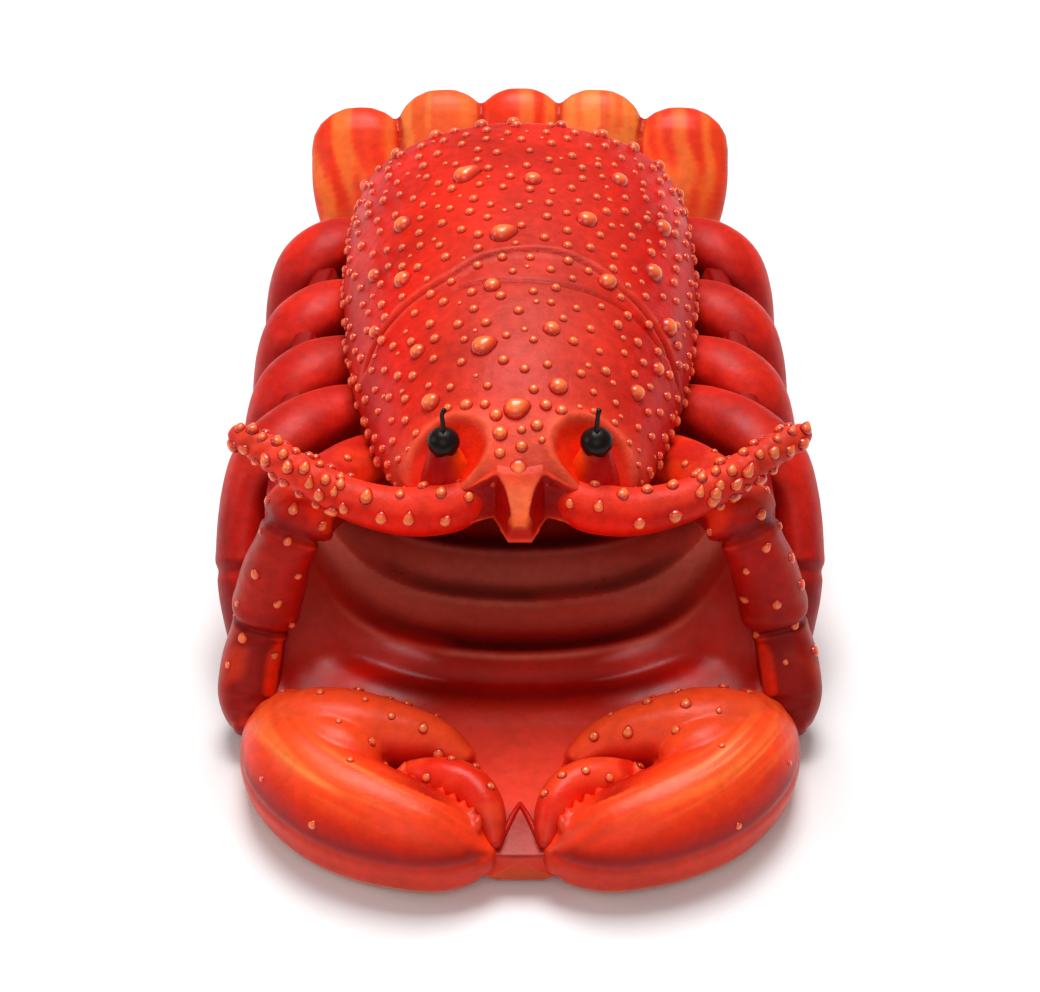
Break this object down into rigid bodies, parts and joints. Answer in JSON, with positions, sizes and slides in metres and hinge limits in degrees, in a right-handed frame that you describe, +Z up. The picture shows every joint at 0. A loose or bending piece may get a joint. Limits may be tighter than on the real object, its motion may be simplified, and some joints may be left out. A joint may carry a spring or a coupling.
{
  "type": "lobster cracker",
  "caption": "Lobster-shaped table cracker: a ridged tray with claws, legs and tail, and a hinged carapace with a toothed lever that presses onto the ridges.",
  "frame": {"origin": "centre of the bounding box's base, on the table", "axes": "+Z up; the head and claws face -Y and the tail points along +Y"},
  "size_m": [0.1364, 0.2321, 0.081],
  "materials": {
    "shell_red": "airbrushed deep red under satin varnish",
    "bed_maroon": "dark maroon satin",
    "limb_red": "bright red satin",
    "claw_orange": "orange-red with streaks, satin",
    "fan_orange": "orange with red shading, satin",
    "eye_black": "satin black",
    "lever_alloy": "cast, lightly brushed",
    "hinge_steel": "brushed",
    "foot_rubber": "matt"
  },
  "bodies": {
    "base": {"base_tray": "bed_maroon", "left_claw": "claw_orange", "right_claw": "claw_orange", "left_claw_thumb": "limb_red", "right_claw_thumb": "limb_red", "left_arm": "limb_red", "right_arm": "limb_red", "left_leg_1": "limb_red", "left_leg_2": "limb_red", "left_leg_3": "limb_red", "left_leg_4": "limb_red", "right_leg_1": "limb_red", "right_leg_2": "limb_red", "right_leg_3": "limb_red", "right_leg_4": "limb_red", "left_rail": "limb_red", "right_rail": "limb_red", "abdomen": "shell_red", "tail_fan": "fan_orange", "hinge_hood": "shell_red", "hinge_bracket": "hinge_steel", "bracket_screws": "hinge_steel", "hinge_pin": "hinge_steel", "pin_caps": "hinge_steel", "rubber_feet": "foot_rubber"},
    "lid": {"carapace": "shell_red", "left_antenna": "limb_red", "right_antenna": "limb_red", "left_eye_stalk": "limb_red", "right_eye_stalk": "limb_red", "left_eye_bead": "eye_black", "right_eye_bead": "eye_black", "press_lever": "lever_alloy", "lever_screws": "hinge_steel"}
  },
  "joints": [
    {"name": "lid_hinge", "type": "hinge", "parent": "base", "child": "lid", "pos_m": [0, 0.0653, 0.049], "axis": [-1, 0, 0], "range_deg": [0, 60]}
  ]
}
